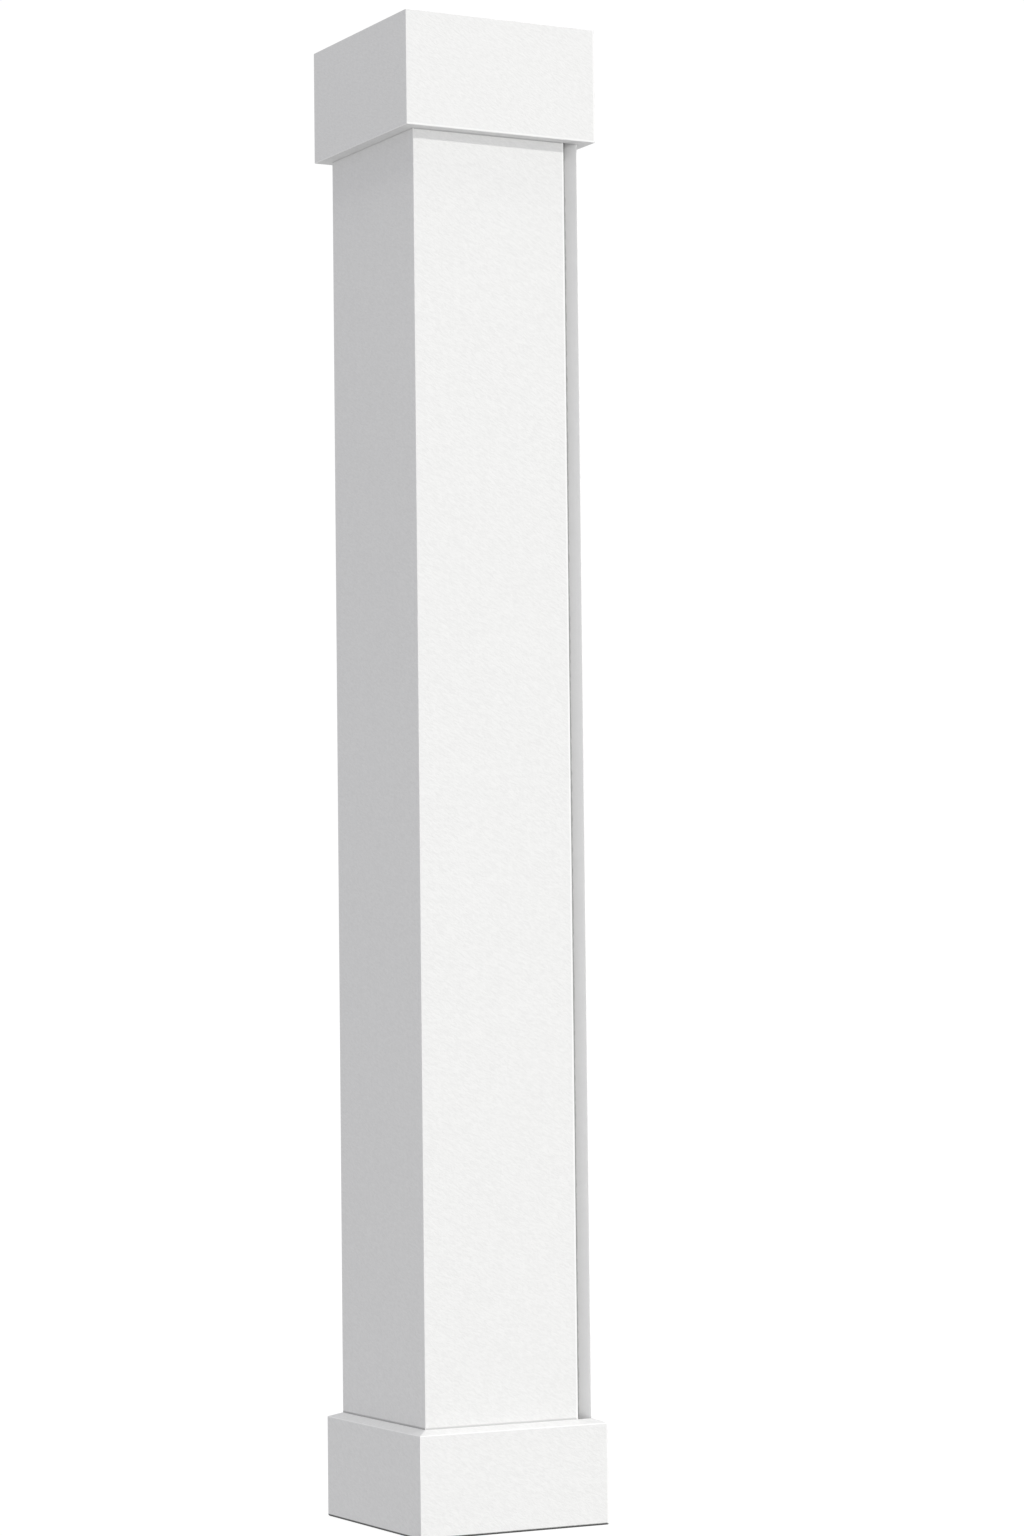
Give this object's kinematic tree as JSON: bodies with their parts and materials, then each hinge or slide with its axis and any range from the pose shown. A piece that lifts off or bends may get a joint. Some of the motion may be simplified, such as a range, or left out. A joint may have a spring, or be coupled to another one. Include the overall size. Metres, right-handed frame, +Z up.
{
  "type": "square exterior column",
  "caption": "Square boxed exterior column with a taller cap collar and a plain base collar, hollow and open at both ends to close around a post.",
  "frame": {"origin": "on the ground, at the middle of the column's underside", "axes": "+Z up along the column, -Y out of the front face, +X towards the closing board on the right"},
  "size_m": [0.3466, 0.3466, 2.438],
  "materials": {
    "white_shaft_board": "smooth white cellular PVC board with a satin skin, mitred corners sanded round",
    "white_closing_board": "smooth white cellular PVC board, its long edges mitred and left raw sawn, slightly greyer",
    "white_collar_board": "smooth white cellular PVC board with a satin skin, rims and mitred corners sanded round"
  },
  "bodies": {
    "root": {"shaft_front_board": "white_shaft_board", "shaft_left_board": "white_shaft_board", "shaft_back_board": "white_shaft_board", "shaft_right_closing_board": "white_closing_board", "cap_front_board": "white_collar_board", "cap_back_board": "white_collar_board", "cap_left_board": "white_collar_board", "cap_right_board": "white_collar_board", "base_front_board": "white_collar_board", "base_back_board": "white_collar_board", "base_left_board": "white_collar_board", "base_right_board": "white_collar_board"}
  },
  "joints": []
}
